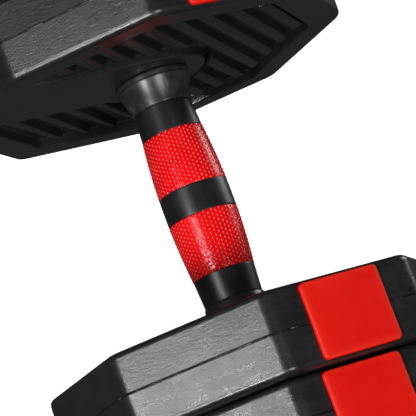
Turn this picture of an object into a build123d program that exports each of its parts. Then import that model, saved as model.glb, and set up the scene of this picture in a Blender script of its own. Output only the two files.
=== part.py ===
from build123d import *

import os

# Adjustable dumbbell: a threaded bar with a two-colour grip, three eight-sided filled plates on
# each side, and a spin-lock nut at each end.
#
# Millimetres. X runs along the bar and +Z is up. The origin is under the middle of the grip, on
# the plane that the bottom tiles of the two large plates rest on. Left is -X and right is +X, and
# the pieces of one side are those of the other turned half a turn about Z.

# driving sizes
GRIP_HALF = 68.0  # from the middle of the grip to the inner face of the large plate
FACE_GAP = 0.3  # running gap between pieces that slide apart

# the plates from the grip outwards
PLATES = {
    "large": {"across": 190.0, "thick": 40.0},
    "middle": {"across": 175.0, "thick": 38.0},
    "small": {"across": 160.0, "thick": 36.0},
}
SIDES = {"left": -1, "right": 1}
OCTAGON_SIDES = 8
OCTAGON_TURN = 22.5  # puts flats at the top and the bottom

CORNER_R = 10.0  # rounding of the eight corners
RIM_R = 3.4  # rounding between the rim and each face
RIM_DRAFT = 4.0  # degrees, from the parting line to each face
WALL = 2.6  # wall of the moulded shell
DRAFT_ROOM = 1.25  # kept beside the wall, because the rim leans in towards the face
FILL_GAP = 0.1  # between the shell and its filling
BORE_R = 15.0  # hole for the bar

BORDER_SHARE = 0.087  # width of the flat border, as a share of the plate's size across flats
WELL_DEPTH = 5.6  # the well inside the border
WELL_CORNER_R = 7.0
HUB_SHARE = 0.150  # radius of the boss around the bore, as a share of the size across
LABEL_TOP_SHARE = 0.150  # upper edge of the plain label field, from the middle
LABEL_LOW_SHARE = 0.125  # lower edge of the label field, from the middle

RIB_PITCH_SHARE = 0.0619  # from rib to rib, square to them
RIB_SHIFT = 0.25  # from the middle of the plate to the nearest rib, as a share of the pitch
RIB_WIDE_SHARE = 0.031  # width of the ribs above the middle
RIB_HEAD_SHARE = 0.040  # width at the upper end of the ribs below the middle
RIB_TAIL_SHARE = 0.004  # and at their lower end, where they run out to a blade
RIB_REACH_SHARE = 0.45  # half the length that the ribs are drawn to before the well cuts them
RIB_SLANT = -45.0  # degrees, down to the right for someone facing the plate
RIB_HEIGHT = 4.6
RIB_CLEAR = 3.6  # the ribs end this far from the border and the hub, and join the label field

TILE_WIDE = 42.5  # around the rim
TILE_SHARE = 0.915  # length, as a share of the plate's thickness
TILE_PROUD = 1.9  # above the parting line
TILE_INSET = 2.4  # below the parting line
TILE_CORNER_R = 2.4
TILE_EDGE_R = 0.8
TILE_FIT = 0.1  # gap around the tile in its seat

BAR_HALF = 220.0
TUBE_R = 11.0
TUBE_BORE_R = 8.0
PLUG_DEEP = 14.0
CAP_THICK = 3.0
CAP_EDGE_R = 1.5
SLEEVE_FIT = 0.05  # between the tube and what is pushed on it
THREAD_R = 14.0  # over the crests

# the grip's outline: distance from the middle and radius
BAND_HALF = 7.3  # half of the black middle band
PAD_END = 37.2  # outer end of the red pads
NECK = 51.6  # where the flared collar starts
LIP = 64.6  # where the flare ends in a straight lip
BARREL_R = 17.8
PAD_END_R = 15.7
NECK_R = 14.8
PAD_THICK = 2.2
PAD_FIT = 0.05
COLLAR_R = 15.3
FLARE_MID = 60.6
FLARE_MID_R = 16.3
LIP_R = 19.2
LIP_EDGE_R = 0.5

WASHER_R = 28.0
WASHER_THICK = 3.0
NUT_BORE_R = 14.4
NUT_LOBES = 8
NUT_RING_R = 30.0  # radius of the nut's body, on whose edge the lobes stand
NUT_LOBE_R = 6.5
NUT_VALLEY_R = 3.25  # rounding between a lobe and the body
NUT_THICK = 16.0
NUT_BOSS_R = 22.0
NUT_BOSS_TALL = 10.5
NUT_EDGE_R = 1.6

AXIS_HIGH = PLATES["large"]["across"] / 2 + TILE_PROUD
BAR_AXIS = Axis((0, 0, AXIS_HIGH), (1, 0, 0))
LENGTHWISE = Plane(origin=(0, 0, AXIS_HIGH), x_dir=(1, 0, 0), z_dir=(0, -1, 0))

os.makedirs("parts", exist_ok=True)


def write(piece, name):
    """Label a finished piece and write it as its own file."""
    piece.label = name
    export_step(piece, f"parts/{name}.step")


def across_bar(x, outward):
    """The plane across the bar at x that faces +X or -X, with Z up on it."""
    return Plane(origin=(x, 0, AXIS_HIGH), x_dir=(0, outward, 0), z_dir=(outward, 0, 0))


def octagon(across, corner_r):
    """An eight-sided face with flats at the top and the bottom and rounded corners."""
    with BuildSketch() as outline:
        RegularPolygon(across / 2, OCTAGON_SIDES, major_radius=False, rotation=OCTAGON_TURN)
        fillet(outline.vertices(), corner_r)
    return outline.sketch


def label_field(across, margin):
    """The plain field on the left of the hub, grown by a margin at its top and bottom."""
    top = LABEL_TOP_SHARE * across + margin
    low = -LABEL_LOW_SHARE * across - margin
    with BuildSketch() as field:
        with Locations((-across / 4, (top + low) / 2)):
            Rectangle(across / 2, top - low)
    return field.sketch


def well_outline(across, inset):
    """The well inside the border, drawn in by an inset from all of its walls."""
    inner_across = across * (1 - 2 * BORDER_SHARE) - 2 * inset
    with BuildSketch() as well:
        add(octagon(inner_across, WELL_CORNER_R - inset))
        Circle(HUB_SHARE * across + inset, mode=Mode.SUBTRACT)
        add(label_field(across, inset), mode=Mode.SUBTRACT)
    return well.sketch


def rib_bar(length_half, head_wide, tail_wide, row):
    """One straight rib along X, from its head at -X to its tail at +X, at a height of row."""
    with BuildSketch() as bar:
        with Locations((0, row)):
            Polygon(
                (-length_half, head_wide / 2),
                (-length_half, -head_wide / 2),
                (length_half, -tail_wide / 2),
                (length_half, tail_wide / 2),
                align=None,
            )
    return bar.sketch


def rib_outline(across):
    """The slanted ribs that stand in the well: even ones above the middle, tapered ones below."""
    pitch = RIB_PITCH_SHARE * across
    reach = RIB_REACH_SHARE * across
    even_width = RIB_WIDE_SHARE * across
    count = int(reach / pitch)
    with BuildSketch(Plane.XY.rotated((0, 0, RIB_SLANT))) as bars:
        for step in range(-count, 0):
            row = (step + RIB_SHIFT) * pitch
            add(rib_bar(reach, RIB_HEAD_SHARE * across, RIB_TAIL_SHARE * across, row))
        for step in range(0, count + 1):
            row = (step + RIB_SHIFT) * pitch
            add(rib_bar(reach, even_width, even_width, row))
    inner_across = across * (1 - 2 * BORDER_SHARE)
    with BuildSketch() as ribs:
        add(bars.sketch)
        add(octagon(inner_across - 2 * RIB_CLEAR, WELL_CORNER_R - RIB_CLEAR), mode=Mode.INTERSECT)
        Circle(HUB_SHARE * across + RIB_CLEAR, mode=Mode.SUBTRACT)
        add(label_field(across, 0), mode=Mode.SUBTRACT)
    return ribs.sketch


def tile_seats(across, half_wide, deep):
    """The two seats in the top and the bottom flat, as faces to take away from an outline."""
    with BuildSketch() as seats:
        with Locations((0, across / 2), (0, -across / 2)):
            Rectangle(2 * half_wide, 2 * deep)
    return seats.sketch


def hollow_outline(across, gap):
    """The hollow inside a shell, drawn in by a gap from the walls of the shell."""
    with BuildSketch() as hollow:
        add(octagon(across - 2 * (WALL + DRAFT_ROOM + gap), CORNER_R - WALL))
        Circle(BORE_R + WALL + gap, mode=Mode.SUBTRACT)
        add(
            tile_seats(across, TILE_WIDE / 2 + WALL + gap, TILE_INSET + WALL + gap),
            mode=Mode.SUBTRACT,
        )
    return hollow.sketch


def half_shell(size, seam_x, outward):
    """One moulded half of a plate, from the parting line to the face that looks outward."""
    across = size["across"]
    deep = size["thick"] / 2
    seam = across_bar(seam_x, outward)
    well_floor = seam.offset(deep - WELL_DEPTH)
    with BuildPart() as shell:
        with BuildSketch(seam):
            add(octagon(across, CORNER_R))
        extrude(amount=deep, taper=RIM_DRAFT)
        front = shell.faces().sort_by(Axis(seam.origin, seam.z_dir))[-1]
        fillet(front.edges(), RIM_R)
        with BuildSketch(well_floor):
            add(well_outline(across, 0))
        extrude(amount=WELL_DEPTH, mode=Mode.SUBTRACT)
        with BuildSketch(well_floor):
            add(rib_outline(across))
        extrude(amount=RIB_HEIGHT)
        with BuildSketch(seam):
            add(hollow_outline(across, 0))
        extrude(amount=deep - WELL_DEPTH - WALL, mode=Mode.SUBTRACT)
        with BuildSketch(seam):
            Circle(BORE_R)
        extrude(amount=deep, mode=Mode.SUBTRACT)
        with BuildSketch(seam):
            add(tile_seats(across, TILE_WIDE / 2 + TILE_FIT, TILE_INSET + TILE_FIT))
        extrude(amount=size["thick"] * TILE_SHARE / 2 + TILE_FIT, mode=Mode.SUBTRACT)
    return shell.part


def filling(size, seam_x):
    """The cast filling that lies in the hollow of both halves."""
    reach = size["thick"] / 2 - WELL_DEPTH - WALL - FILL_GAP
    with BuildPart() as block:
        with BuildSketch(across_bar(seam_x, 1)):
            add(hollow_outline(size["across"], FILL_GAP))
        extrude(amount=reach, both=True)
    return block.part


def rim_tile(size, seam_x, upward):
    """The coloured tile in the top (+1) or the bottom (-1) flat of a plate."""
    seat_floor = size["across"] / 2 - TILE_INSET
    base = Plane(
        origin=(seam_x, 0, AXIS_HIGH + upward * seat_floor),
        x_dir=(1, 0, 0),
        z_dir=(0, 0, upward),
    )
    with BuildPart() as tile:
        with BuildSketch(base):
            RectangleRounded(size["thick"] * TILE_SHARE, TILE_WIDE, TILE_CORNER_R)
        extrude(amount=TILE_INSET + TILE_PROUD)
        outer_face = tile.faces().sort_by(Axis(base.origin, base.z_dir))[-1]
        fillet(outer_face.edges(), TILE_EDGE_R)
    return tile.part


def barrel_face(start, end, inner_r):
    """Half of the barrel's lengthwise section from start to end, down to an inner radius."""
    band_tall = BARREL_R  # enough to reach past the barrel's surface from any inner radius
    with BuildSketch() as section:
        with BuildLine():
            Polyline((-PAD_END, PAD_END_R), (-NECK, NECK_R), (-NECK, 0), (NECK, 0))
            Polyline((NECK, 0), (NECK, NECK_R), (PAD_END, PAD_END_R))
            ThreePointArc((-PAD_END, PAD_END_R), (0, BARREL_R), (PAD_END, PAD_END_R))
        make_face()
        with Locations(((start + end) / 2, inner_r + band_tall / 2)):
            Rectangle(end - start, band_tall, mode=Mode.INTERSECT)
    return section.sketch


# bar and grip
with BuildPart() as bar_tube:
    with BuildSketch(across_bar(-BAR_HALF + CAP_THICK, 1)):
        Circle(TUBE_R)
        Circle(TUBE_BORE_R, mode=Mode.SUBTRACT)
    extrude(amount=2 * (BAR_HALF - CAP_THICK))
write(bar_tube.part, "bar_tube")

pad_floor = PAD_END_R - PAD_THICK
pad_mid = (BAND_HALF + PAD_END) / 2
with BuildPart() as grip_sleeve:
    with BuildSketch(LENGTHWISE):
        add(barrel_face(-NECK, NECK, TUBE_R + SLEEVE_FIT))
        with Locations((-pad_mid, pad_floor), (pad_mid, pad_floor)):
            Rectangle(PAD_END - BAND_HALF, BARREL_R, align=(Align.CENTER, Align.MIN), mode=Mode.SUBTRACT)
    revolve(axis=BAR_AXIS)
write(grip_sleeve.part, "grip_sleeve")

for side, outward in SIDES.items():
    end_plane = across_bar(outward * (BAR_HALF - CAP_THICK), outward)

    with BuildPart() as pad:
        pad_ends = sorted((outward * (BAND_HALF + PAD_FIT), outward * (PAD_END - PAD_FIT)))
        with BuildSketch(LENGTHWISE):
            add(barrel_face(*pad_ends, pad_floor + PAD_FIT))
        revolve(axis=BAR_AXIS)
    write(pad.part, f"red_pad_{side}")

    with BuildPart() as collar:
        collar_start = outward * (NECK + PAD_FIT)
        collar_end = outward * (GRIP_HALF - FACE_GAP)
        lip_start = outward * LIP
        with BuildSketch(LENGTHWISE):
            with BuildLine():
                Polyline(
                    (collar_start, COLLAR_R),
                    (collar_start, TUBE_R + SLEEVE_FIT),
                    (collar_end, TUBE_R + SLEEVE_FIT),
                    (collar_end, LIP_R),
                    (lip_start, LIP_R),
                )
                ThreePointArc(
                    (lip_start, LIP_R),
                    (outward * FLARE_MID, FLARE_MID_R),
                    (collar_start, COLLAR_R),
                )
            make_face()
        revolve(axis=BAR_AXIS)
        lip_edges = collar.edges().filter_by(GeomType.CIRCLE).group_by(SortBy.RADIUS)[-1]
        fillet(lip_edges, LIP_EDGE_R)
    write(collar.part, f"collar_{side}")

    with BuildPart() as thread:
        with BuildSketch(across_bar(outward * GRIP_HALF, outward)):
            Circle(THREAD_R)
            Circle(TUBE_R + SLEEVE_FIT, mode=Mode.SUBTRACT)
        extrude(amount=BAR_HALF - CAP_THICK - GRIP_HALF)
    write(thread.part, f"thread_{side}")

    with BuildPart() as cap:
        with BuildSketch(end_plane):
            Circle(THREAD_R - SLEEVE_FIT)
        extrude(amount=CAP_THICK)
        end_face = cap.faces().sort_by(Axis(end_plane.origin, end_plane.z_dir))[-1]
        fillet(end_face.edges(), CAP_EDGE_R)
        with BuildSketch(end_plane):
            Circle(TUBE_BORE_R - SLEEVE_FIT)
        extrude(amount=-PLUG_DEEP)
    write(cap.part, f"end_cap_{side}")

# plates, washers and nuts
for side, outward in SIDES.items():
    inner_face = GRIP_HALF
    for plate_name, plate_size in PLATES.items():
        plate_seam = outward * (inner_face + plate_size["thick"] / 2)
        prefix = f"{plate_name}_{side}"
        write(half_shell(plate_size, plate_seam, -outward), f"{prefix}_inner_shell")
        write(half_shell(plate_size, plate_seam, outward), f"{prefix}_outer_shell")
        write(filling(plate_size, plate_seam), f"{prefix}_filling")
        write(rim_tile(plate_size, plate_seam, 1), f"{prefix}_top_tile")
        write(rim_tile(plate_size, plate_seam, -1), f"{prefix}_bottom_tile")
        inner_face += plate_size["thick"] + FACE_GAP

    with BuildPart() as washer:
        with BuildSketch(across_bar(outward * inner_face, outward)):
            Circle(WASHER_R)
            Circle(NUT_BORE_R, mode=Mode.SUBTRACT)
        extrude(amount=WASHER_THICK)
    write(washer.part, f"washer_{side}")

    nut_plane = across_bar(outward * (inner_face + WASHER_THICK + FACE_GAP), outward)
    nut_outward = Axis(nut_plane.origin, nut_plane.z_dir)
    with BuildPart() as nut:
        with BuildSketch(nut_plane) as nut_star:
            Circle(NUT_RING_R)
            with PolarLocations(NUT_RING_R, NUT_LOBES):
                Circle(NUT_LOBE_R)
            fillet(nut_star.vertices(), NUT_VALLEY_R)
        extrude(amount=NUT_THICK)
        fillet(nut.faces().sort_by(nut_outward)[-1].edges(), NUT_EDGE_R)
        with BuildSketch(nut_plane.offset(NUT_THICK)):
            Circle(NUT_BOSS_R)
        extrude(amount=NUT_BOSS_TALL)
        fillet(nut.faces().sort_by(nut_outward)[-1].edges(), NUT_EDGE_R)
        with BuildSketch(nut_plane):
            Circle(NUT_BORE_R)
        extrude(amount=NUT_THICK + NUT_BOSS_TALL, mode=Mode.SUBTRACT)
    write(nut.part, f"nut_{side}")
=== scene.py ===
from math import asin, atan2, cos, pi, radians, sin, sqrt, tan

import bmesh
import bpy
from mathutils import Matrix, Vector
from mathutils.geometry import tessellate_polygon


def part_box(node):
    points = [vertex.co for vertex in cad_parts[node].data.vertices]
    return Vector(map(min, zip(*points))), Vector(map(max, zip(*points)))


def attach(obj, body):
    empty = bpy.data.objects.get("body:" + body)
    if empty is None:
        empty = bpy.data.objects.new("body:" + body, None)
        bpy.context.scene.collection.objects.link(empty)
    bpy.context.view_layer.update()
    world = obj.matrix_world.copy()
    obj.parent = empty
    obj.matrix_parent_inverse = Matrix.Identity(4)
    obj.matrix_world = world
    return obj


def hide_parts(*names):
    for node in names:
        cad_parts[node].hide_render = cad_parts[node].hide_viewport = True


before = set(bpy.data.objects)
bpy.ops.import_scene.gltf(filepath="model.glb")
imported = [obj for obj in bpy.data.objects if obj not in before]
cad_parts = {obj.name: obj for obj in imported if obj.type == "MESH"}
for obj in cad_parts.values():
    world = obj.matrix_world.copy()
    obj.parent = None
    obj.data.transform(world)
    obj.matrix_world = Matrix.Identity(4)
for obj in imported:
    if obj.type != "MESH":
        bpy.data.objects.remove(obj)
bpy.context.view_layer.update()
scene = bpy.context.scene
sides = {"left": -1, "right": 1}
plateNames = ("large", "middle", "small")

tubeLow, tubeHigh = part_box("bar_tube")
axisHigh = (tubeLow.z + tubeHigh.z) / 2  # height of the bar's axis above the floor
print("frame loaded, the bar's axis is", round(axisHigh, 4), "m up")


def operator(operation, flip=False):
    # a maths node as an operator on wires and numbers
    def apply(wire, other):
        values = [other, wire] if flip else [wire, other]
        return wire.tree.node("ShaderNodeMath", values, operation=operation)
    return apply


class Wire:
    # one socket of a tree, so that its maths reads as an expression
    def __init__(self, tree, socket):
        self.tree = tree
        self.socket = socket

    __add__, __radd__ = operator("ADD"), operator("ADD", True)
    __sub__, __rsub__ = operator("SUBTRACT"), operator("SUBTRACT", True)
    __mul__, __rmul__ = operator("MULTIPLY"), operator("MULTIPLY", True)
    __truediv__, __mod__ = operator("DIVIDE"), operator("FLOORED_MODULO")
    __pow__ = operator("POWER")

    def maths(self, operation, *others):
        return self.tree.node("ShaderNodeMath", [self, *others], operation=operation)

    def clamp(self):
        return self.maths("MAXIMUM", 0.0).maths("MINIMUM", 1.0)

    def step(self, low, high):
        values = {"Value": self, "From Min": low, "From Max": high}
        return self.tree.node("ShaderNodeMapRange", values, interpolation_type="SMOOTHSTEP")


class Tree:
    # a shader or geometry tree; node() takes the sockets first, then the settings
    def __init__(self, group):
        self.group, self.nodes, self.links = group, group.nodes, group.links

    def node(self, kind, values=None, output=0, **settings):
        made = self.nodes.new(kind)
        for key, value in settings.items():
            setattr(made, key, value)
        pairs = values.items() if isinstance(values, dict) else enumerate(values or [])
        for key, value in pairs:
            socket = made.inputs[key]
            if isinstance(value, Wire):
                self.links.new(value.socket, socket)
            else:
                socket.default_value = value
        return None if output is None else Wire(self, made.outputs[output])

    def geo(self, kind, values=None, **settings):
        return self.node("GeometryNode" + kind, values, **settings)

    def vector(self, x, y, z):
        return self.node("ShaderNodeCombineXYZ", [x, y, z])

    def part(self, wire, index):
        return self.node("ShaderNodeSeparateXYZ", [wire], output=index)


class Finish(Tree):
    # a material's tree round one Principled shader
    def __init__(self, name, **fixed):
        self.material = bpy.data.materials.new(name)
        self.material.use_nodes = True
        super().__init__(self.material.node_tree)
        self.shader = self.nodes["Principled BSDF"]
        for key, value in fixed.items():
            self.shader.inputs[key.replace("_", " ")].default_value = value
        self.place = self.node("ShaderNodeTexCoord", output="Object")

    def stretched(self, scale, turn=(0, 0, 0)):
        values = {"Vector": self.place, "Scale": scale, "Rotation": turn}
        return self.node("ShaderNodeMapping", values)

    def noise(self, scale, detail, rough, vector=None):
        values = {"Scale": scale, "Detail": detail, "Roughness": rough}
        return self.node("ShaderNodeTexNoise", {"Vector": vector or self.place, **values})

    def cells(self, scale):
        return self.node("ShaderNodeTexVoronoi", {"Vector": self.place, "Scale": scale})

    def mix(self, factor, first, second):
        first, second = (c if isinstance(c, Wire) else (*c, 1) for c in (first, second))
        values = {0: factor, 6: first, 7: second}  # the colour sockets of the node
        return self.node("ShaderNodeMix", values, output=2, data_type="RGBA")

    def attribute(self, name):
        return self.node("ShaderNodeAttribute", output="Fac", attribute_name=name)

    def feed(self, colour, rough=None, height=None, strength=0.0, distance=0.0):
        # the varying inputs: colour, roughness and a bump of the given height
        wires = {"Base Color": colour}
        if rough:
            wires["Roughness"] = rough.clamp()
        if height:
            values = {"Height": height, "Strength": strength, "Distance": distance}
            wires["Normal"] = self.node("ShaderNodeBump", values)
        for key, wire in wires.items():
            self.links.new(wire.socket, self.shader.inputs[key])
        return self.material


shellLook = {
    "black": (0.0072, 0.0072, 0.0077), "grey": (0.0165, 0.0165, 0.0172),
    "dust": (0.075, 0.074, 0.072), "roughLow": 0.26, "roughHigh": 0.37, "turnScale": 0.09,
}


def roundTheBar(finish, along, around):
    # coordinates along, round and out from the bar, for streaks that follow the rims
    x, y, z = (finish.part(finish.place, index) for index in range(3))
    high = z - axisHigh
    turned = y.maths("ARCTAN2", high) * shellLook["turnScale"]
    radius = (y * y + high * high).maths("SQRT")
    return finish.vector(x * along, turned * around, radius * around)


def shellPlastic():
    # satin black plastic with streaks along the rim, fine grain and rubbed patches
    finish = Finish("shellPlastic", IOR=1.49, Specular_IOR_Level=0.62)
    look = shellLook
    streak = finish.noise(1.0, 3, 0.6, roundTheBar(finish, 1150, 240))
    broad = finish.noise(1.0, 4, 0.6, roundTheBar(finish, 210, 55))
    cloud = finish.noise(26, 5, 0.62)
    grain = finish.noise(1150, 4, 0.65)
    pits = finish.cells(620).step(0.0, 0.20)
    rubbed = (cloud * 0.35 + streak * 0.25 + broad * 0.25 + grain * 0.20).step(0.38, 0.68)
    slanted = finish.stretched((1.0, 3.0, 0.4), (0.6, 0.2, 0.0))
    scuff = finish.noise(70, 6, 0.72, slanted).step(0.60, 0.80)
    base = finish.mix(rubbed, look["black"], look["grey"])
    colour = finish.mix(scuff * 0.16, base, look["dust"])
    rougher = rubbed * (look["roughHigh"] - look["roughLow"])
    roughness = look["roughLow"] + rougher + scuff * 0.04
    height = grain * 1.2 + streak * 2.0 + broad * 0.2 + pits * 0.15
    return finish.feed(colour, roughness, height, 0.36, 0.00012)


def flashPlastic():
    # the trimmed flash on the parting line, with pale flecks painted on as glints (painted
    # highlight)
    finish = Finish("flashPlastic", IOR=1.49)
    # cut marks the pale flecks painted as glints
    cut = finish.noise(170, 4, 0.7).step(0.53, 0.66)
    colour = finish.mix(cut, (0.012, 0.012, 0.013), (0.30, 0.30, 0.30))
    return finish.feed(colour, 0.25 + cut * 0.25)


def tilePlastic():
    # saturated red plastic with a faint flow pattern and a painted highlight along the top edge:
    # paler red, broken by noise
    finish = Finish("tilePlastic", IOR=1.47, Specular_IOR_Level=0.26)
    cloud = finish.noise(34, 4, 0.6)
    grain = finish.noise(1300, 3, 0.55)
    flow = finish.mix(cloud.step(0.38, 0.66), (0.66, 0.0034, 0.0011), (0.73, 0.0066, 0.0020))
    # the edge attribute holds each vertex's share of the painted edge highlight
    edge = finish.attribute("edge")
    edgeHighlight = (edge * (0.45 + finish.noise(240, 3, 0.6) * 0.9)).clamp()
    colour = finish.mix(edgeHighlight * 0.55, flow, (0.78, 0.030, 0.014))
    rough = 0.36 + cloud * 0.14 + grain * 0.06
    return finish.feed(colour, rough, grain * 0.4 + cloud * 0.9, 0.16, 0.0002)


def padRubber():
    # red rubber; each stud's top is painted paler as a painted highlight, broken by cloud, over the
    # deeper red between the studs
    finish = Finish("padRubber", IOR=1.47, Specular_IOR_Level=0.42)
    tip = finish.attribute("tip")
    cloud = finish.noise(70, 4, 0.6)
    low = finish.mix(cloud.step(0.35, 0.65), (0.70, 0.0016, 0.0030), (0.84, 0.0030, 0.0050))
    # tip marks each stud's top, painted paler as a highlight
    colour = finish.mix((tip * (0.45 + cloud * 0.7)).clamp(), low, (0.80, 0.12, 0.115))
    grain = finish.noise(900, 3, 0.65)
    return finish.feed(colour, 0.15 + cloud * 0.04, grain, 0.6, 0.00026)


cloudedLooks = {
    # satin rubber with a little dust on it
    "gripRubber": {
        "ior": 1.48, "cloudScale": 60, "cloudRough": 0.6, "grainScale": 1500, "step": (0.4, 0.7),
        "dark": (0.0065, 0.0065, 0.0070), "pale": (0.0135, 0.0135, 0.0140), "dust": 0.22,
        "rough": 0.29, "rougher": 0.14, "swell": 0.8, "bump": (0.28, 0.00018),
    },
    # moulded like the shells, a little glossier where fingers turn it
    "nutPlastic": {
        "ior": 1.49, "cloudScale": 50, "cloudRough": 0.6, "grainScale": 1400, "step": (0.4, 0.68),
        "dark": (0.010, 0.010, 0.011), "pale": (0.026, 0.026, 0.027),
        "rough": 0.30, "rougher": 0.2, "swell": 1.5, "bump": (0.3, 0.0002),
    },
    "washerRubber": {
        "ior": 1.5, "cloudScale": 80, "cloudRough": 0.65, "grainScale": 1700, "step": (0.35, 0.7),
        "dark": (0.030, 0.030, 0.030), "pale": (0.060, 0.059, 0.058),
        "rough": 0.62, "rougher": 0.2, "bump": (0.4, 0.0002),
    },
}


def clouded(name):
    # two shades in soft clouds under a fine grain
    look = cloudedLooks[name]
    finish = Finish(name, IOR=look["ior"])
    cloud = finish.noise(look["cloudScale"], 5, look["cloudRough"])
    height = finish.noise(look["grainScale"], 3, 0.6)
    colour = finish.mix(cloud.step(*look["step"]), look["dark"], look["pale"])
    if "dust" in look:
        dust = finish.noise(900, 2, 0.5).step(0.66, 0.74)
        colour = finish.mix(dust * look["dust"], colour, (0.12, 0.12, 0.12))
    if "swell" in look:
        height = height + cloud * look["swell"]
    return finish.feed(colour, look["rough"] + cloud * look["rougher"], height, *look["bump"])


def collarPlastic():
    # glossier plastic with turning marks and a few short scratches
    finish = Finish("collarPlastic", IOR=1.5, Coat_Roughness=0.18)
    cloud = finish.noise(120, 5, 0.65)
    scratch = finish.noise(300, 4, 0.7, finish.stretched((0.15, 1.0, 1.0))).step(0.62, 0.68)
    colour = finish.mix(cloud.step(0.4, 0.7), (0.013, 0.013, 0.014), (0.030, 0.030, 0.031))
    marked = finish.mix(scratch * 0.35, colour, (0.11, 0.11, 0.11))
    rings = finish.noise(900, 2, 0.5, finish.stretched((1.0, 0.02, 0.02)))
    rough = 0.24 + cloud * 0.16 + scratch * 0.15
    return finish.feed(marked, rough, rings * 0.5 + cloud * 0.8, 0.22, 0.0002)


def drawnSteel():
    finish = Finish("drawnSteel", Metallic=1.0)
    lines = finish.noise(700, 4, 0.6, finish.stretched((0.03, 1.0, 1.0)))
    colour = finish.mix(lines, (0.42, 0.42, 0.43), (0.62, 0.62, 0.63))
    return finish.feed(colour, 0.25 + lines * 0.2, lines, 0.2, 0.0001)


def castCement():
    finish = Finish("castCement", IOR=1.5)
    grit = finish.cells(260)
    cloud = finish.noise(40, 6, 0.7)
    colour = finish.mix((cloud * 0.7 + grit * 0.5).clamp(), (0.25, 0.24, 0.22), (0.50, 0.48, 0.45))
    return finish.feed(colour, 0.8 + cloud * 0.15, grit + cloud, 0.5, 0.0006)


def paleFloor():
    white = (1, 1, 1, 1)
    finish = Finish("paleFloor", Roughness=0.9, Emission_Color=white, Emission_Strength=0.88)
    cloud = finish.noise(3, 4, 0.6)
    return finish.feed(finish.mix(cloud, (0.84, 0.84, 0.84), (0.90, 0.90, 0.90)))


finishes = {
    "shell": shellPlastic(), "flash": flashPlastic(), "tile": tilePlastic(),
    "pad": padRubber(), "grip": clouded("gripRubber"), "collar": collarPlastic(),
    "nut": clouded("nutPlastic"), "washer": clouded("washerRubber"),
    "steel": drawnSteel(), "cement": castCement(), "floor": paleFloor(),
}
print("finishes made:", len(finishes))


def linked(name, data):
    made = bpy.data.objects.new(name, data)
    scene.collection.objects.link(made)
    return made


def dress(mesh, finish):
    mesh.materials.clear()
    mesh.materials.append(finishes[finish])


def pieceFrom(name, mesh, finish, body, materialSlot, *nodes):
    # a finished piece rides on its body and stands for the nodes given
    dress(mesh, finish)
    piece = linked(name, mesh)
    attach(piece, body)
    if nodes:
        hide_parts(*nodes)


def meshFrom(shape, name, sharp=None):
    # ends a bmesh as a mesh, smoothed below the angle given
    if sharp:
        bmesh.ops.recalc_face_normals(shape, faces=shape.faces)
    mesh = bpy.data.meshes.new(name)
    shape.to_mesh(mesh)
    shape.free()
    if sharp:
        mesh.shade_smooth()
        mesh.set_sharp_from_angle(angle=radians(sharp))
    return mesh


def ringAt(shape, points, level):
    return [shape.verts.new((point.x, point.y, level)) for point in points]


def bridge(shape, *rings):
    # quads between each two rings, all of the same count
    count = len(rings[0])
    for lower, upper in zip(rings, rings[1:]):
        for index in range(count):
            following = (index + 1) % count
            shape.faces.new((lower[index], lower[following], upper[following], upper[index]))


def spoke(angle):
    return Vector((cos(angle), sin(angle)))


def quarterTurn(steps, first=0):
    # how far inward and up each step of a rounded edge lies, for a radius of one
    bends = [spoke(pi / 2 * step / steps) for step in range(first, steps + 1)]
    return [(1 - bend.x, bend.y) for bend in bends]


def roundedLoop(centres, corner, steps):
    # an arc round each centre in turn, anticlockwise
    share = 2 * pi / len(centres)
    return [
        centre + spoke(share * (index + step / steps)) * corner
        for index, centre in enumerate(centres) for step in range(steps + 1)
    ]


def eachSide(kind):
    # each side with its node's near and far ends along the bar and its radius
    for side, outward in sides.items():
        low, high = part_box(f"{kind}_{side}")
        near, far = sorted((abs(low.x), abs(high.x)))
        yield side, outward, near, far, (high.y - low.y) / 2


def roundedProfile(corners, steps):
    # (x, radius, rounding) corners become points, with arcs at the rounded ones
    points = []
    count = len(corners)
    for index, (x, y, rounding) in enumerate(corners):
        here = Vector((x, y))
        if rounding <= 0:
            points.append(here)
            continue
        before = Vector(corners[index - 1][:2]) - here
        after = Vector(corners[(index + 1) % count][:2]) - here
        turn = before.angle(after)
        away = rounding / tan(turn / 2)
        middle = (before.normalized() + after.normalized()).normalized()
        centre = here + middle * (rounding / sin(turn / 2))
        start = (here + before.normalized() * away - centre).normalized()
        end = (here + after.normalized() * away - centre).normalized()
        for step in range(steps + 1):
            points.append(centre + start.slerp(end, step / steps) * rounding)
    return points


def turnedMesh(name, profile, segments=96, sharp=38, outward=1, steps=4):
    # a closed section turned round the bar's axis: corners for roundedProfile, or a
    # function that gives (x, radius) points at each angle
    if not callable(profile):
        points = roundedProfile([(outward * x, r, rounding) for x, r, rounding in profile], steps)
    shape = bmesh.new()
    rings = []
    for segment in range(segments):
        angle = 2 * pi * segment / segments
        up, across = cos(angle), sin(angle)
        section = profile(angle) if callable(profile) else points
        rings.append([shape.verts.new((x, r * across, axisHigh + r * up)) for x, r in section])
    bridge(shape, *rings, rings[0])
    return meshFrom(shape, name, sharp)


def geometryTree(name, inputs):
    # a new tree with named size inputs and one geometry output
    group = bpy.data.node_groups.new(name, "GeometryNodeTree")
    kinds = {int: "Int", float: "Float", bpy.types.Material: "Material"}
    newSocket = group.interface.new_socket
    newSocket("Geometry", in_out="INPUT", socket_type="NodeSocketGeometry")
    for label, value in inputs.items():
        socketType = "NodeSocket" + kinds[type(value)]
        socket = newSocket(label, in_out="INPUT", socket_type=socketType)
        if not isinstance(value, bpy.types.Material):
            socket.default_value = value
    newSocket("Geometry", in_out="OUTPUT", socket_type="NodeSocketGeometry")
    tree = Tree(group)
    entry = group.nodes.new("NodeGroupInput")
    given = {label: Wire(tree, entry.outputs[label]) for label in ["Geometry", *inputs]}
    return tree, given


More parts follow.
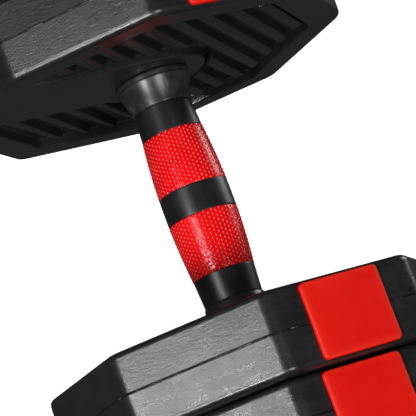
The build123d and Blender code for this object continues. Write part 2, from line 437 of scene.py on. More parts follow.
def leaveTree(tree, geometry, finish, base=None):
    # joins the base mesh if given, realizes instances, sets the finish, ends the tree
    if base:
        joined = tree.geo("JoinGeometry", {"Geometry": geometry})
        tree.links.new(base.socket, joined.socket.node.inputs["Geometry"])
        geometry = joined
    realized = tree.geo("RealizeInstances", {"Geometry": geometry})
    dressed = tree.geo("SetMaterial", {"Geometry": realized, "Material": finish})
    tree.node("NodeGroupOutput", {"Geometry": dressed}, output=None)
    return tree.group


def settled(holder, name):
    # the mesh as the modifiers leave it; holder and modifiers are removed
    bpy.context.view_layer.update()
    evaluated = holder.evaluated_get(bpy.context.evaluated_depsgraph_get())
    mesh = bpy.data.meshes.new_from_object(evaluated)
    mesh.name = name
    holder.modifiers.clear()
    bpy.data.objects.remove(holder)
    return mesh


def grown(name, group, inputs, base):
    # runs a tree once on a base mesh and returns a plain mesh
    holder = linked(name + "Holder", base)
    modifier = holder.modifiers.new("grow", "NODES")
    modifier.node_group = group
    for item in group.interface.items_tree:
        if item.name in inputs:
            modifier[item.identifier] = inputs[item.name]
    return settled(holder, name)


gripShape = {
    "barrelRadius": 0.0178, "padEndRadius": 0.0157, "neckRadius": 0.0148, "padDrop": 0.00012,
    "padGap": 0.00005, "padFloor": 0.0135, "bore": 0.01105, "samples": 14,
    "edge": 0.0002, "padEdge": 0.0003,
}
gripEnds = [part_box("grip_sleeve")[index].x for index in (0, 1)]
padInner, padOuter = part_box("red_pad_right")[0].x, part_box("red_pad_right")[1].x


def barrelArc():
    # radius of the lengthwise arc from the barrel's middle to the pads' ends
    drop = gripShape["barrelRadius"] - gripShape["padEndRadius"]
    return (padOuter ** 2 + drop ** 2) / (2 * drop)


def gripRadius(x):
    # the grip's outline: an arc over the pads, then a straight taper to the collar
    if abs(x) > padOuter:
        share = (abs(x) - padOuter) / (gripEnds[1] - padOuter)
        start, end = gripShape["padEndRadius"], gripShape["neckRadius"]
        return start + share * (end - start)
    return gripShape["barrelRadius"] - barrelArc() + sqrt(barrelArc() ** 2 - x ** 2)


def outlinePoints(start, end, drop=0.0, rounding=gripShape["edge"]):
    # corners of the grip's outer line, a little rounded at both ends
    count = gripShape["samples"]
    corners = []
    for index in range(count + 1):
        x = start + (end - start) * index / count
        corners.append((x, gripRadius(x) - drop, rounding if index in (0, count) else 0))
    return corners


def gripSleeve():
    deep, bore = gripShape["padFloor"], gripShape["bore"]
    corners = [
        *outlinePoints(gripEnds[0], -padOuter), (-padOuter, deep, 0), (-padInner, deep, 0),
        *outlinePoints(-padInner, padInner), (padInner, deep, 0), (padOuter, deep, 0),
        *outlinePoints(padOuter, gripEnds[1]), (gripEnds[1], bore, 0), (gripEnds[0], bore, 0),
    ]
    mesh = turnedMesh("gripSleeve", corners)
    pieceFrom("gripSleeve", mesh, "grip", "bar", "grip_rubber", "grip_sleeve")


knurl = {
    "rows": 13, "columns": 54, "pitch": 0.00228, "wide": 0.00050, "longer": 1.6,
    "tall": 0.00040, "sunk": 0.00008,
}


def knurlTree(inputs):
    # staggered low studs on the barrel, counted round and along by the point's index
    tree, given = geometryTree("knurl", inputs)
    index = tree.geo("InputIndex")
    row = (index / given["Columns"]).maths("FLOOR")
    column = index % given["Columns"]
    along = given["Start"] + (row + 0.5 * (column % 2)) * given["Pitch"]
    arc = given["Arc Radius"]
    rise = (arc * arc - along * along).maths("SQRT") - arc
    radius = given["Barrel Radius"] + rise - given["Sunk"]
    angle = column / given["Columns"] * (2 * pi)
    high = given["Axis Height"] + radius * angle.maths("COSINE")
    points = tree.geo("Points", {
        "Count": given["Rows"] * given["Columns"],
        "Position": tree.vector(along, radius * angle.maths("SINE"), high),
    })
    ball = tree.geo("MeshUVSphere", {"Segments": 8, "Rings": 5, "Radius": 1.0})
    # the top of each stud, which the pad's finish paints paler as a highlight
    tip = tree.part(tree.geo("InputPosition"), 2).step(0.50, 0.92)
    values = {"Geometry": ball, "Name": "tip", "Value": tip}
    marked = tree.geo("StoreNamedAttribute", values, data_type="FLOAT", domain="POINT")
    wide = given["Stud Size"]
    size = tree.vector(wide * knurl["longer"], wide, given["Stud Height"])
    stud = tree.geo("Transform", {"Geometry": marked, "Scale": size})
    spread = tree.geo("InstanceOnPoints", {
        "Points": points, "Instance": stud, "Rotation": tree.vector(0.0 - angle, 0.0, 0.0),
    })
    realized = tree.geo("RealizeInstances", {"Geometry": spread})
    smooth = tree.geo("SetShadeSmooth", {"Geometry": realized})
    return leaveTree(tree, smooth, given["Finish"], given["Geometry"])


def redPads():
    # each pad is a turned ring with its studs
    inputs = {
        "Rows": knurl["rows"], "Columns": knurl["columns"], "Start": 0.0,
        "Pitch": knurl["pitch"], "Barrel Radius": gripShape["barrelRadius"] - gripShape["padDrop"],
        "Arc Radius": barrelArc(), "Axis Height": axisHigh, "Stud Size": knurl["wide"],
        "Stud Height": knurl["tall"], "Sunk": knurl["sunk"], "Finish": finishes["pad"],
    }
    group = knurlTree(inputs)
    gap = gripShape["padGap"]
    for side, outward in sides.items():
        start, end = sorted((outward * (padInner + gap), outward * (padOuter - gap)))
        deep = gripShape["padFloor"] + gap
        corners = outlinePoints(start, end, gripShape["padDrop"], gripShape["padEdge"])
        corners += [(end, deep, 0), (start, deep, 0)]
        ring = turnedMesh("padRing", corners)
        inputs["Start"] = start + (end - start - (knurl["rows"] - 0.5) * knurl["pitch"]) / 2
        mesh = grown("redPad", group, inputs, ring)
        pieceFrom(f"redPad.{side}", mesh, "pad", "bar", "pad_rubber", f"red_pad_{side}")


collarShape = {
    "startRadius": 0.0153, "midRadius": 0.0163, "lipRadius": 0.0192,
    "lipWidth": 0.0031, "lipGroove": 0.0005, "steps": 14,
}


def collars():
    # concave flares from the neck to a straight lip with a thin groove behind it
    look = collarShape
    first, second, third = look["startRadius"], look["midRadius"], look["lipRadius"]
    groove = third - look["lipGroove"]
    for side, outward, near, far, radius in eachSide("collar"):
        lip = far - look["lipWidth"]
        corners = [(near, gripShape["bore"], 0), (near, first, 0.0005)]
        for step in range(1, look["steps"]):
            share = step / look["steps"]
            flare = 2 * share * (1 - share) * second + share ** 2 * third
            corners.append((near + (lip - near) * share, (1 - share) ** 2 * first + flare, 0))
        corners += [
            (lip, third, 0.0004), (lip + 0.0003, groove, 0), (lip + 0.0008, groove, 0),
            (lip + 0.0010, third, 0.0002), (far, third, 0.0005), (far, gripShape["bore"], 0),
        ]
        mesh = turnedMesh("collar", corners, sharp=50, outward=outward, steps=3)
        pieceFrom(f"collar.{side}", mesh, "collar", "bar", "collar_plastic", f"collar_{side}")


gripSleeve()
redPads()
collars()
print("grip made")


threadShape = {
    "crest": 0.0140, "root": 0.0124, "pitch": 0.008, "crestWide": 0.0022, "rootWide": 0.0046,
    "bore": 0.01105, "sunk": 0.0006, "rounding": 0.0004, "gapNear": 0.0002, "gapFar": 0.0001,
}


def threadTree(inputs):
    # a ridge of tapered section wound round the root cylinder
    tree, given = geometryTree("thread", inputs)
    middle = (given["Root Radius"] + given["Crest Radius"]) / 2
    spiral = tree.geo("CurveSpiral", {
        "Resolution": 48, "Rotations": given["Turns"], "Start Radius": middle,
        "End Radius": middle, "Height": given["Length"],
    })
    upright = tree.geo("SetCurveNormal", {"Curve": spiral}, mode="Z_UP")
    depth = given["Crest Radius"] - given["Root Radius"] + threadShape["sunk"]
    section = tree.geo("CurvePrimitiveQuadrilateral", {
        "Bottom Width": given["Root Width"], "Top Width": given["Crest Width"],
        "Height": depth, "Offset": 0.0,
    }, mode="TRAPEZOID")
    values = {"Curve": section, "Count": 2, "Radius": threadShape["rounding"]}
    rounded = tree.geo("FilletCurve", values, mode="POLY")

    def moved(geometry, **values):
        return tree.geo("Transform", {"Geometry": geometry, **values})

    lying = moved(rounded, Rotation=(0.0, 0.0, radians(-90)))
    ridge = tree.geo("CurveToMesh", {
        "Curve": upright, "Profile Curve": lying, "Fill Caps": True,
    })
    turned = moved(ridge, Rotation=(0.0, radians(90), 0.0))
    shifted = moved(turned, Translation=tree.vector(given["Start"], 0.0, 0.0))
    raised = tree.vector(0.0, 0.0, given["Axis Height"])
    about = tree.vector(0.0, 0.0, given["Side Turn"])
    sided = moved(shifted, Translation=raised, Rotation=about)
    smooth = tree.geo("SetShadeSmooth", {"Geometry": sided})
    return leaveTree(tree, smooth, given["Finish"], given["Geometry"])


def threads():
    shape = threadShape
    inputs = {
        "Turns": 1.0, "Length": 0.1, "Start": 0.0, "Side Turn": 0.0, "Axis Height": axisHigh,
        "Root Radius": shape["root"], "Crest Radius": shape["crest"],
        "Crest Width": shape["crestWide"], "Root Width": shape["rootWide"],
        "Finish": finishes["collar"],
    }
    group = threadTree(inputs)
    for side, outward, near, far, radius in eachSide("thread"):
        near, far = near + shape["gapNear"], far - shape["gapFar"]
        corners = [(x, shape["root"], shape["rounding"]) for x in (near, far)]
        corners += [(x, shape["bore"], 0) for x in (far, near)]
        root = turnedMesh("threadRoot", corners, outward=outward)
        ridgeLength = far - near - shape["rootWide"] * 1.2
        inputs["Turns"] = ridgeLength / shape["pitch"]
        inputs["Length"] = ridgeLength
        inputs["Start"] = near + shape["rootWide"] * 0.6
        inputs["Side Turn"] = 0.0 if outward > 0 else pi
        mesh = grown("thread", group, inputs, root)
        pieceFrom(f"thread.{side}", mesh, "collar", "bar", "thread_plastic", f"thread_{side}")


capShape = {
    "plugRadius": 0.00795, "thick": 0.003, "dish": 0.0008, "dishRadius": 0.0095,
    "edge": 0.0012, "fine": 0.0003, "hole": 0.0004,
}


def endCaps():
    # a plug in the tube under a round cap with a shallow dish
    look = capShape
    fine, hole, plug = look["fine"], look["hole"], look["plugRadius"]
    for side, outward, near, far, radius in eachSide("end_cap"):
        shoulder, dish = far - look["thick"], far - look["dish"]
        corners = [
            (near, hole, 0), (near, plug, 0.001), (shoulder, plug, 0), (shoulder, radius, fine),
            (far, radius, look["edge"]), (far, look["dishRadius"] + 0.0006, fine),
            (dish, look["dishRadius"], fine), (dish, hole, 0),
        ]
        mesh = turnedMesh("endCap", corners, outward=outward)
        pieceFrom(f"endCap.{side}", mesh, "nut", "bar", "nut_plastic", f"end_cap_{side}")


threads()
endCaps()
print("threads and caps made")


washerShape = {"bore": 0.0144, "edge": 0.0008, "boreEdge": 0.0004}
nutShape = {
    "lobes": 8, "fullness": 2.2, "valley": 0.0285, "bossTop": 0.0205, "bossFoot": 0.0222,
    "bore": 0.0144, "starTall": 0.016, "edge": 0.0018, "dish": 0.0012, "segments": 192,
}


def washers():
    for side, outward, near, far, radius in eachSide("washer"):
        inner = washerShape["bore"], washerShape["boreEdge"]
        outer = radius, washerShape["edge"]
        corners = [(near, *inner), (near, *outer), (far, *outer), (far, *inner)]
        mesh = turnedMesh("washer", corners, outward=outward, steps=3)
        node = f"washer_{side}"  # the body has the same name
        pieceFrom(f"washer.{side}", mesh, "washer", node, "washer_rubber", node)


def starRadius(angle, tip, valley):
    # rounded lobes: broad tops, narrower valleys
    wave = 0.5 + 0.5 * cos(nutShape["lobes"] * angle)
    return valley + (tip - valley) * (1 - (1 - wave) ** nutShape["fullness"])


def nutStations(near, far):
    # the nut's section: x, the share of the star's radius, the radius added to it
    look = nutShape
    top, edge, dish = near + look["starTall"], look["edge"], look["dish"]
    foot, boss, bore = look["bossFoot"], look["bossTop"], look["bore"]
    stations = [(near, 0.0, bore), (near, 1.0, -edge)]
    stations += [(near + edge * inward, 1.0, -edge * (1 - up)) for inward, up in quarterTurn(4, 1)]
    stations += [(top - edge * (1 - up), 1.0, -edge * inward) for inward, up in quarterTurn(4)]
    plain = [
        (top - 0.0004, foot + 0.0040), (top - dish, foot + 0.0022), (top - dish, foot + 0.0004),
        (top - dish + 0.0006, foot), (far - edge, boss), (far - edge * 0.3, boss - edge * 0.3),
        (far, boss - edge), (far, bore + 0.0012), (far - 0.0010, bore + 0.0001),
        (near + 0.0008, bore + 0.0001),
    ]
    return stations + [(x, 0.0, radius) for x, radius in plain]


def nuts():
    for side, outward, near, far, tip in eachSide("nut"):
        stations = nutStations(near, far)

        def section(angle):
            star = starRadius(angle, tip, nutShape["valley"])
            return [(outward * x, star * share + shift) for x, share, shift in stations]

        mesh = turnedMesh("nut", section, nutShape["segments"], sharp=40)
        pieceFrom(f"nut.{side}", mesh, "nut", f"nut_{side}", "nut_plastic", f"nut_{side}")


washers()
nuts()
print("nuts and washers made")


tileShape = {"corner": 0.0024, "edge": 0.0009, "crown": 0.00025, "arcSteps": 5, "edgeSteps": 4}


def tileMesh(length, width, bottom, top, middleX, upward):
    # a slab with rounded corners and upper edge and a slightly crowned top
    look = tileShape

    def outline(inset):
        corner = max(look["corner"] - inset, 0.0002)
        x, y = length / 2 - inset - corner, width / 2 - inset - corner
        centres = [Vector(spot) for spot in ((x, y), (-x, y), (-x, -y), (x, -y))]
        return roundedLoop(centres, corner, look["arcSteps"])

    edge, crown = look["edge"], look["crown"]
    levels = [(0.0, bottom, 0.0), (0.0, top - edge, 0.1)]  # inset, height, share of the painted edge highlight
    for inward, up in quarterTurn(look["edgeSteps"], 1):
        levels.append((edge * inward, top - edge + edge * up - crown, 0.2 + 0.8 * up))
    levels += [
        (edge * 2.2, top - crown * 0.7, 0.35), (edge * 5, top - crown * 0.35, 0.0),
        (min(length, width) * 0.30, top, 0.0),
    ]
    shape = bmesh.new()
    # each ring carries its share of the painted edge highlight
    highlightLayer = shape.verts.layers.float.new("edge")
    rings = []
    for inset, level, edgeHighlight in levels:
        high = axisHigh + upward * level
        ring = [shape.verts.new((middleX + point.x, point.y, high)) for point in outline(inset)]
        for vert in ring:
            vert[highlightLayer] = edgeHighlight
        rings.append(ring)
    bridge(shape, *rings)
    shape.faces.new(list(reversed(rings[0])))
    shape.faces.new(rings[-1])
    return meshFrom(shape, "tile", sharp=60)


def tiles():
    for side in sides:
        for plate in plateNames:
            for place, upward in (("top", 1), ("bottom", -1)):
                node = f"{plate}_{side}_{place}_tile"
                low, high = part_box(node)
                levels = sorted((abs(low.z - axisHigh), abs(high.z - axisHigh)))
                size = high - low
                mesh = tileMesh(size.x, size.y, *levels, (low.x + high.x) / 2, upward)
                name = f"{plate}{place.capitalize()}Tile.{side}"
                pieceFrom(name, mesh, "tile", f"{plate}_{side}", "tile_plastic", node)


plateShape = {
    # a share is of the plate's width across its flats
    "corner": 0.0100, "rimRounding": 0.0034, "draft": 0.0003, "seamGroove": 0.00075,
    "wellDepth": 0.0056, "borderShare": 0.087, "wellCorner": 0.007, "hubShare": 0.150,
    "labelTop": 0.150, "labelLow": 0.125, "wellEdge": 0.0009, "wellFoot": 0.0011,
    "wellDraft": 0.0004, "bore": 0.0150, "boreEdge": 0.0006, "wall": 0.0026,
    "hollowInset": 0.00385, "cornerSteps": 7, "edgeSteps": 4, "rimSteps": 6, "hubSteps": 72,
    "boreSteps": 64,
}
ribShape = {
    "pitchShare": 0.0619, "shift": 0.25, "evenShare": 0.031, "headShare": 0.040,
    "tailShare": 0.004, "reachShare": 0.45, "tall": 0.0046, "squareness": 0.38, "draft": 0.10,
    "clear": 0.0036, "headRise": 0.0012, "headLow": 0.70, "tailRise": 0.0060, "tailLow": 0.35,
    "scan": 0.0004, "shortest": 0.008, "sameEnd": 0.02, "points": 16, "steepest": 1.15,
}


def octagonLoop(half, corner):
    # rounded eight-sided loop, anticlockwise from the corner after the right-hand flat
    away = (half - corner) / cos(pi / 8)
    centres = [spoke(radians(22.5 + 45 * flat)) * away for flat in range(8)]
    return roundedLoop(centres, corner, plateShape["cornerSteps"])


def circleLoop(radius, count):
    return [spoke(2 * pi * step / count) * radius for step in range(count)]


def wellLoop(across, inset):
    # round the border from the label field's lower to its upper edge, then back by the hub
    look = plateShape
    half = across * (0.5 - look["borderShare"]) - inset
    top = look["labelTop"] * across + inset
    low = look["labelLow"] * across + inset
    hub = look["hubShare"] * across + inset
    corners = octagonLoop(half, look["wellCorner"] - inset)
    perCorner = look["cornerSteps"] + 1
    border = corners[4 * perCorner:] + corners[:4 * perCorner]
    first = pi - asin(top / hub)
    last = -pi + asin(low / hub)
    steps = look["hubSteps"]
    hubArc = [spoke(first + (last - first) * step / steps) * hub for step in range(steps + 1)]
    return [Vector((-half, -low)), *border, Vector((-half, top)), *hubArc]


ribAlong = Vector((1, -1)).normalized()
ribOver = Vector((1, 1)).normalized()


def insideWell(point, across):
    # where a rib may stand: clear of the border and hub, up against the label field
    look = plateShape
    half = across * (0.5 - look["borderShare"]) - ribShape["clear"]
    slanted = max(abs(point.x + point.y), abs(point.x - point.y)) / sqrt(2)
    inBorder = max(abs(point.x), abs(point.y), slanted) < half
    inLabel = point.x < 0 and -look["labelLow"] * across < point.y < look["labelTop"] * across
    hub = look["hubShare"] * across + ribShape["clear"]
    return inBorder and not inLabel and point.length > hub


def wellSpans(across, row):
    # stretches of the slanted line at the distance row where a rib may stand
    spans = []
    start = None
    count = int(across / 2 / ribShape["scan"])
    for step in range(-count, count + 1):
        far = step * ribShape["scan"]
        inside = insideWell(ribOver * row + ribAlong * far, across)
        if inside and start is None:
            start = far
        if start is not None and not inside:
            if far - start > ribShape["shortest"]:
                spans.append((start, far))
            start = None
    return spans


def ribHalfWidth(across, row, far):
    look = ribShape
    if row > 0:
        return look["evenShare"] * across / 2
    share = min(1, max(0, far / (look["reachShare"] * across) / 2 + 0.5))
    return (look["headShare"] + share * (look["tailShare"] - look["headShare"])) * across / 2


def endSlant(across, row, far, index):
    # how far an end leans along the rib per metre across it, to follow the wall
    halfWidth = ribHalfWidth(across, row, far)
    ends = []
    for offset in (-halfWidth, halfWidth):
        near = [span[index] for span in wellSpans(across, row + offset)]
        near = [value for value in near if abs(value - far) < ribShape["sameEnd"]]
        if not near:
            return 0.0
        ends.append(min(near, key=lambda value: abs(value - far)))
    slant = (ends[1] - ends[0]) / (2 * halfWidth)
    return max(-ribShape["steepest"], min(ribShape["steepest"], slant))


def ribPlaces(start, end):
    # a rib's points, close together at the ends, where its height changes
    look = ribShape
    places = [start + look["headRise"] * share for share in (0, 0.3, 0.65, 1)]
    head, tail, count = places[-1], end - look["tailRise"], look["points"]
    places += [head + (tail - head) * step / count for step in range(1, count)]
    return places + [tail + look["tailRise"] * step / 4 for step in range(5)]


def ribRise(start, end, far):
    # the share of the full height at far
    look = ribShape
    fromHead = min(1, (far - start) / look["headRise"])
    fromTail = min(1, (end - far) / look["tailRise"])
    head = look["headLow"] + (1 - look["headLow"]) * sqrt(1 - (1 - fromHead) ** 2)
    return head * (look["tailLow"] + (1 - look["tailLow"]) * sin(fromTail * pi / 2))


def ribLines(across, floor):
    # one line per rib, whose points carry the half width, the height and the ends' lean
    shape = bmesh.new()
    names = ("half", "rise", "slant", "row")
    layers = [shape.verts.layers.float.new(name) for name in names]
    count = int(0.5 / ribShape["pitchShare"])
    for line in range(-count, count + 1):
        row = (line + ribShape["shift"]) * ribShape["pitchShare"] * across
        for start, end in wellSpans(across, row):
            slants = endSlant(across, row, start, 0), endSlant(across, row, end, 1)
            before = None
            for far in ribPlaces(start, end):
                spot = ribOver * row + ribAlong * far
                vert = shape.verts.new((spot.x, spot.y, floor))
                slant = slants[0] + (slants[1] - slants[0]) * (far - start) / (end - start)
                values = ribHalfWidth(across, row, far), ribRise(start, end, far), slant, row
                for layer, value in zip(layers, values):
                    vert[layer] = value
                if before:
                    shape.edges.new((before, vert))
                before = vert
    return meshFrom(shape, "ribLines")


def ribTree(inputs):
    # sweeps a section along each line, then sets its height and leans its ends
    tree, given = geometryTree("ribs", inputs)

    def carried(name):
        return tree.geo("InputNamedAttribute", {"Name": name}, data_type="FLOAT")

    lines = tree.geo("MeshToCurve", {"Mesh": given["Geometry"]})
    upright = tree.geo("SetCurveNormal", {"Curve": lines}, mode="Z_UP")
    values = {"Resolution": 24, "Radius": 1.0}
    ring = tree.geo("CurvePrimitiveCircle", values, mode="RADIUS")
    place = tree.geo("InputPosition")
    wide, high = (
        part.maths("SIGN") * part.maths("ABSOLUTE") ** given["Squareness"]
        for part in (tree.part(place, 0), tree.part(place, 1))
    )
    drafted = wide * (1.0 - given["Draft"] * high)
    section = tree.geo("SetPosition", {
        "Geometry": ring, "Position": tree.vector(drafted, high, 0.0),
    })
    swept = tree.geo("CurveToMesh", {
        "Curve": upright, "Profile Curve": section, "Scale": carried("half"), "Fill Caps": True,
    })
    level = tree.part(place, 2) - given["Floor"]
    values = [place, (*ribOver, 0.0)]
    aside = tree.node("ShaderNodeVectorMath", values, 1, operation="DOT_PRODUCT")
    leaned = (aside - carried("row")) * carried("slant")
    raised = level / carried("half") * given["Height"] * carried("rise") - level
    lean = tree.vector(leaned * ribAlong.x, leaned * ribAlong.y, raised)
    moved = tree.geo("SetPosition", {"Geometry": swept, "Offset": lean})
    smooth = tree.geo("SetShadeSmooth", {"Geometry": moved})
    return leaveTree(tree, smooth, given["Finish"])


seatShape = {"gap": 0.00030, "corner": 0.0024, "spare": 0.004}
flashShape = {
    "reach": 0.00062, "thick": 0.00042, "step": 0.0007, "wander": 0.00010, "grain": 210.0,
    "least": 0.30, "inset": 0.00003, "fromSeat": 0.0002,
}


def flashTree(inputs):
    # a thin ridge along the parting line whose height and place wander
    tree, given = geometryTree("flash", inputs)
    lines = tree.geo("MeshToCurve", {"Mesh": given["Geometry"]})
    values = {"Curve": lines, "Length": given["Step"]}
    cut = tree.geo("ResampleCurve", values, mode="LENGTH")
    upright = tree.geo("SetCurveNormal", {"Curve": cut}, mode="Z_UP")

    def wavering(share, phase):
        # noise at a share of the grain; the phase keeps the waves apart
        values = {"W": given["Seed"] + phase, "Scale": given["Grain"] * share, "Detail": 3.0}
        return tree.node("ShaderNodeTexNoise", values, noise_dimensions="4D")

    tall = (wavering(1.0, 0.0) * 0.6 + wavering(0.22, 3.0) * 0.6).step(0.42, 0.78)
    sway = (wavering(0.5, 7.0) - 0.5) * given["Wander"] * 2.0
    swayed = tree.geo("SetPosition", {
        "Geometry": upright, "Offset": tree.vector(0.0, 0.0, sway),
    })
    values = {"Width": given["Reach"] * 2.0, "Height": given["Thickness"]}
    section = tree.geo("CurvePrimitiveQuadrilateral", values, mode="RECTANGLE")
    least = flashShape["least"]
    swept = tree.geo("CurveToMesh", {
        "Curve": swayed, "Profile Curve": section, "Scale": least + tall * (1 - least),
        "Fill Caps": True,
    })
    return leaveTree(tree, swept, given["Finish"])


def flashLines(across, tileWidth):
    # the parting line from the top tile to the bottom tile, on both sides
    shape = bmesh.new()
    half = across / 2 - flashShape["reach"] - flashShape["inset"]
    loop = octagonLoop(half, plateShape["corner"])
    gap = tileWidth / 2 + seatShape["gap"] + flashShape["fromSeat"]
    for sign in (1, -1):
        run = [point for point in loop if point.x * sign > 0]
        run.sort(key=lambda point: atan2(point.y, abs(point.x)))
        run = [Vector((sign * gap, -half)), *run, Vector((sign * gap, half))]
        verts = ringAt(shape, run, 0.0)
        for first, second in zip(verts, verts[1:]):
            shape.edges.new((first, second))
    return meshFrom(shape, "flashLines")


def fillFlat(shape, *rings):
    # triangles over a flat region: the first ring is its edge, the others holes
    verts = [vert for ring in rings for vert in ring]
    for corners in tessellate_polygon([[vert.co.copy() for vert in ring] for ring in rings]):
        face = [verts[index] for index in corners]
        if len(set(face)) == 3:
            shape.faces.new(face)


def halfShellSolid(across, deep):
    # the moulded half in its own frame: the seam at level 0 and the face at level deep
    look = plateShape
    half = across / 2
    shape = bmesh.new()

    def ring(points, level):
        return ringAt(shape, points, level)

    groove, rounding, corner = look["seamGroove"], look["rimRounding"], look["corner"]
    rim = [ring(octagonLoop(half - groove, corner), 0.0)]
    rim.append(ring(octagonLoop(half, corner), groove * 0.9))
    for inward, up in quarterTurn(look["rimSteps"]):
        inset = rounding * inward
        loop = octagonLoop(half - look["draft"] - inset, corner - inset * 0.5)
        rim.append(ring(loop, deep - rounding + rounding * up))

    floor = deep - look["wellDepth"]
    edge, foot, well = look["wellEdge"], look["wellFoot"], []
    for inward, up in quarterTurn(look["edgeSteps"]):
        well.append(ring(wellLoop(across, -edge * (1 - up)), deep - edge * inward))
    for inward, up in quarterTurn(look["edgeSteps"]):
        loop = wellLoop(across, look["wellDraft"] + foot * inward)
        well.append(ring(loop, floor + foot * (1 - up)))

    wall, inner, steps = look["wall"], look["bore"], look["boreSteps"]
    boreLoop = circleLoop(inner, steps)
    bore = [
        ring(circleLoop(inner + look["boreEdge"], steps), deep),
        ring(boreLoop, deep - look["boreEdge"]), ring(boreLoop, 0.0),
    ]
    ceiling = floor - wall
    outer = octagonLoop(half - look["hollowInset"], corner - wall)
    tube = circleLoop(inner + wall, steps)
    hollow, hollowTube = ([ring(loop, 0.0), ring(loop, ceiling)] for loop in (outer, tube))

    for rings in (rim, well, bore, hollow, hollowTube):
        bridge(shape, *rings)
    fillFlat(shape, rim[-1], well[0], bore[0])
    fillFlat(shape, well[-1])
    fillFlat(shape, rim[0], hollow[0])
    fillFlat(shape, hollow[1], hollowTube[1])
    bridge(shape, hollowTube[0], bore[-1])
    return meshFrom(shape, "halfShell", sharp=32)


def cutSeats(mesh, across, tileLength, tileWidth, seatLevel):
    # takes the tile seats out of the rim, a little wider than the tiles
    holder = linked("seatHolder", mesh)
    height, gap = across / 2 - seatLevel + seatShape["spare"], seatShape["gap"]
    cutters = []
    for upward in (1, -1):
        shape = bmesh.new()
        bmesh.ops.create_cube(shape, size=1.0)
        upright = [edge for edge in shape.edges if edge.verts[0].co.y * edge.verts[1].co.y < 0]
        scale = Vector((tileWidth + 2 * gap, height, tileLength + 2 * gap))
        bmesh.ops.scale(shape, vec=scale, verts=shape.verts)
        middle = (0, upward * (seatLevel + height / 2), 0)
        bmesh.ops.translate(shape, vec=middle, verts=shape.verts)
        corner = seatShape["corner"]
        bmesh.ops.bevel(shape, geom=upright, offset=corner, segments=5, affect="EDGES", profile=0.5)
        cutters.append(linked("seatCutter", meshFrom(shape, "seatBlock")))
        cut = holder.modifiers.new("seat", "BOOLEAN")
        cut.operation = "DIFFERENCE"
        cut.solver = "EXACT"
        cut.object = cutters[-1]
    settle = holder.modifiers.new("settle", "WEIGHTED_NORMAL")
    settle.keep_sharp = True
    result = settled(holder, "halfShell")
    for cutter in cutters:
        bpy.data.objects.remove(cutter)
    return result


def placed(facing, seam):
    # from a half's own frame to its place, its face towards facing
    basis = Matrix(((0, 0, facing), (facing, 0, 0), (0, 1, 0))).to_4x4()
    return Matrix.Translation((seam, 0, axisHigh)) @ basis


def shells():
    ribInputs = {
        "Height": ribShape["tall"], "Floor": 0.0, "Squareness": ribShape["squareness"],
        "Draft": ribShape["draft"], "Finish": finishes["shell"],
    }
    flashInputs = {
        "Reach": flashShape["reach"], "Thickness": flashShape["thick"], "Step": flashShape["step"],
        "Wander": flashShape["wander"], "Grain": flashShape["grain"], "Seed": 1.0,
        "Finish": finishes["flash"],
    }
    ribGroup, flashGroup = ribTree(ribInputs), flashTree(flashInputs)
    for seed, plate in enumerate(plateNames):
        low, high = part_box(f"{plate}_right_inner_shell")
        across, deep = high.y - low.y, high.x - low.x
        tileLow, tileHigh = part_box(f"{plate}_right_top_tile")
        tileSize = tileHigh - tileLow
        solid = halfShellSolid(across, deep)
        cut = cutSeats(solid, across, tileSize.x, tileSize.y, tileLow.z - axisHigh)
        floor = deep - plateShape["wellDepth"]
        ribInputs["Floor"] = floor
        ribs = grown("ribs", ribGroup, ribInputs, ribLines(across, floor))
        for side, outward in sides.items():
            body, seam = f"{plate}_{side}", outward * high.x
            for place, facing in (("inner", -outward), ("outer", outward)):
                mesh = joinedShell(cut, ribs, placed(facing, seam))
                name = f"{plate}{place.capitalize()}Shell.{side}"
                pieceFrom(name, mesh, "shell", body, "shell_plastic", f"{body}_{place}_shell")
            flashInputs["Seed"] = 2.0 * seed + outward
            flash = grown("flash", flashGroup, flashInputs, flashLines(across, tileSize.y))
            flash.transform(placed(outward, seam))
            pieceFrom(f"{plate}Flash.{side}", flash, "flash", body, "shell_plastic")


def joinedShell(cut, ribs, put):
    # shell and ribs as one mesh, moved into place with their finished normals
    parts = [linked("shellPart", mesh.copy()) for mesh in (cut, ribs)]
    with bpy.context.temp_override(active_object=parts[0], selected_editable_objects=parts):
        bpy.ops.object.join()
    mesh = parts[0].data
    mesh.transform(put)
    bpy.data.objects.remove(parts[0])
    return mesh


tiles()
shells()
print("plates made")


dress(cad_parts["bar_tube"].data, "steel")  # these nodes keep their own meshes
for plate in plateNames:
    for side in sides:
        dress(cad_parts[f"{plate}_{side}_filling"].data, "cement")


stageShape = {
    "floorHalf": 15.0, "wallShare": 0.98, "wallSteps": 48, "wallHigh": 14.0, "ambient": 0.062,
}


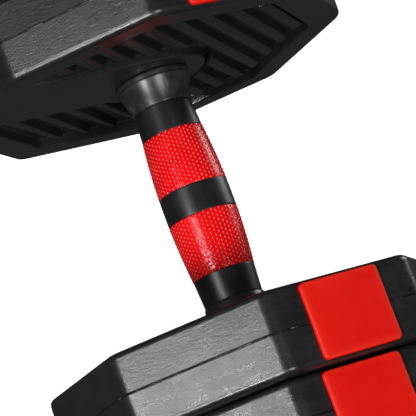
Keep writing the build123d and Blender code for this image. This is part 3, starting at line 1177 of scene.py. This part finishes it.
def layFloor():
    # a pale floor, and a pale wall round it that only the camera sees
    half = stageShape["floorHalf"]
    ground = bmesh.new()
    bmesh.ops.create_grid(ground, x_segments=2, y_segments=2, size=half)
    wall = bmesh.new()
    loop = circleLoop(half * stageShape["wallShare"], stageShape["wallSteps"])
    bridge(wall, ringAt(wall, loop, 0.0), ringAt(wall, loop, stageShape["wallHigh"]))
    for name, shape in (("floor", ground), ("wall", wall)):
        surface = linked(name, meshFrom(shape, name))
        dress(surface.data, "floor")
        surface.visible_glossy = False
        surface.visible_diffuse = False
        surface.visible_shadow = name == "floor"


lamps = {
    "key": {"toward": (0.44, -0.76, 0.48), "distance": 1.6, "size": 0.16, "power": 14},
    "front": {"toward": (-0.04, -0.87, 0.47), "distance": 1.6, "size": 0.20, "power": 8},
    "overhead": {"toward": (0.45, -0.10, 0.90), "distance": 2.0, "size": 0.6, "power": 20},
    "rear": {"toward": (-0.35, 0.92, 0.10), "distance": 2.0, "size": 0.7, "power": 10},
}


def lightStage():
    centre = Vector((0, 0, axisHigh))
    for name, look in lamps.items():
        data = bpy.data.lights.new(name, "AREA")
        data.energy = look["power"]
        data.size = look["size"]
        lamp = linked(name, data)
        toward = Vector(look["toward"]).normalized()
        lamp.location = centre + toward * look["distance"]
        lamp.rotation_euler = toward.to_track_quat("Z", "Y").to_euler()
    world = bpy.data.worlds.new("studio")
    scene.world = world
    world.use_nodes = True
    backdrop = world.node_tree.nodes["Background"]
    backdrop.inputs["Color"].default_value = (1, 1, 1, 1)
    backdrop.inputs["Strength"].default_value = stageShape["ambient"]


cameraPlace = {
    "fromAxis": (0.2301, -0.5478, 0.9553), "right": (0.34285, 0.84626, 0.40779),
    "up": (-0.91752, 0.20855, 0.33861), "back": (0.20151, -0.49025, 0.84797),
    "lens": 196.84, "sensor": 36.0,
}


def setCamera():
    look = cameraPlace
    data = bpy.data.cameras.new("camera")
    data.lens = look["lens"]
    data.sensor_width = look["sensor"]
    data.clip_start = 0.01
    camera = linked("camera", data)
    turned = Matrix([look[name] for name in ("right", "up", "back")]).transposed().to_4x4()
    spot = Vector(look["fromAxis"]) + Vector((0, 0, axisHigh))
    camera.matrix_world = Matrix.Translation(spot) @ turned
    scene.camera = camera


layFloor()
lightStage()
setCamera()
scene.view_settings.view_transform = "Standard"
print("stage ready")
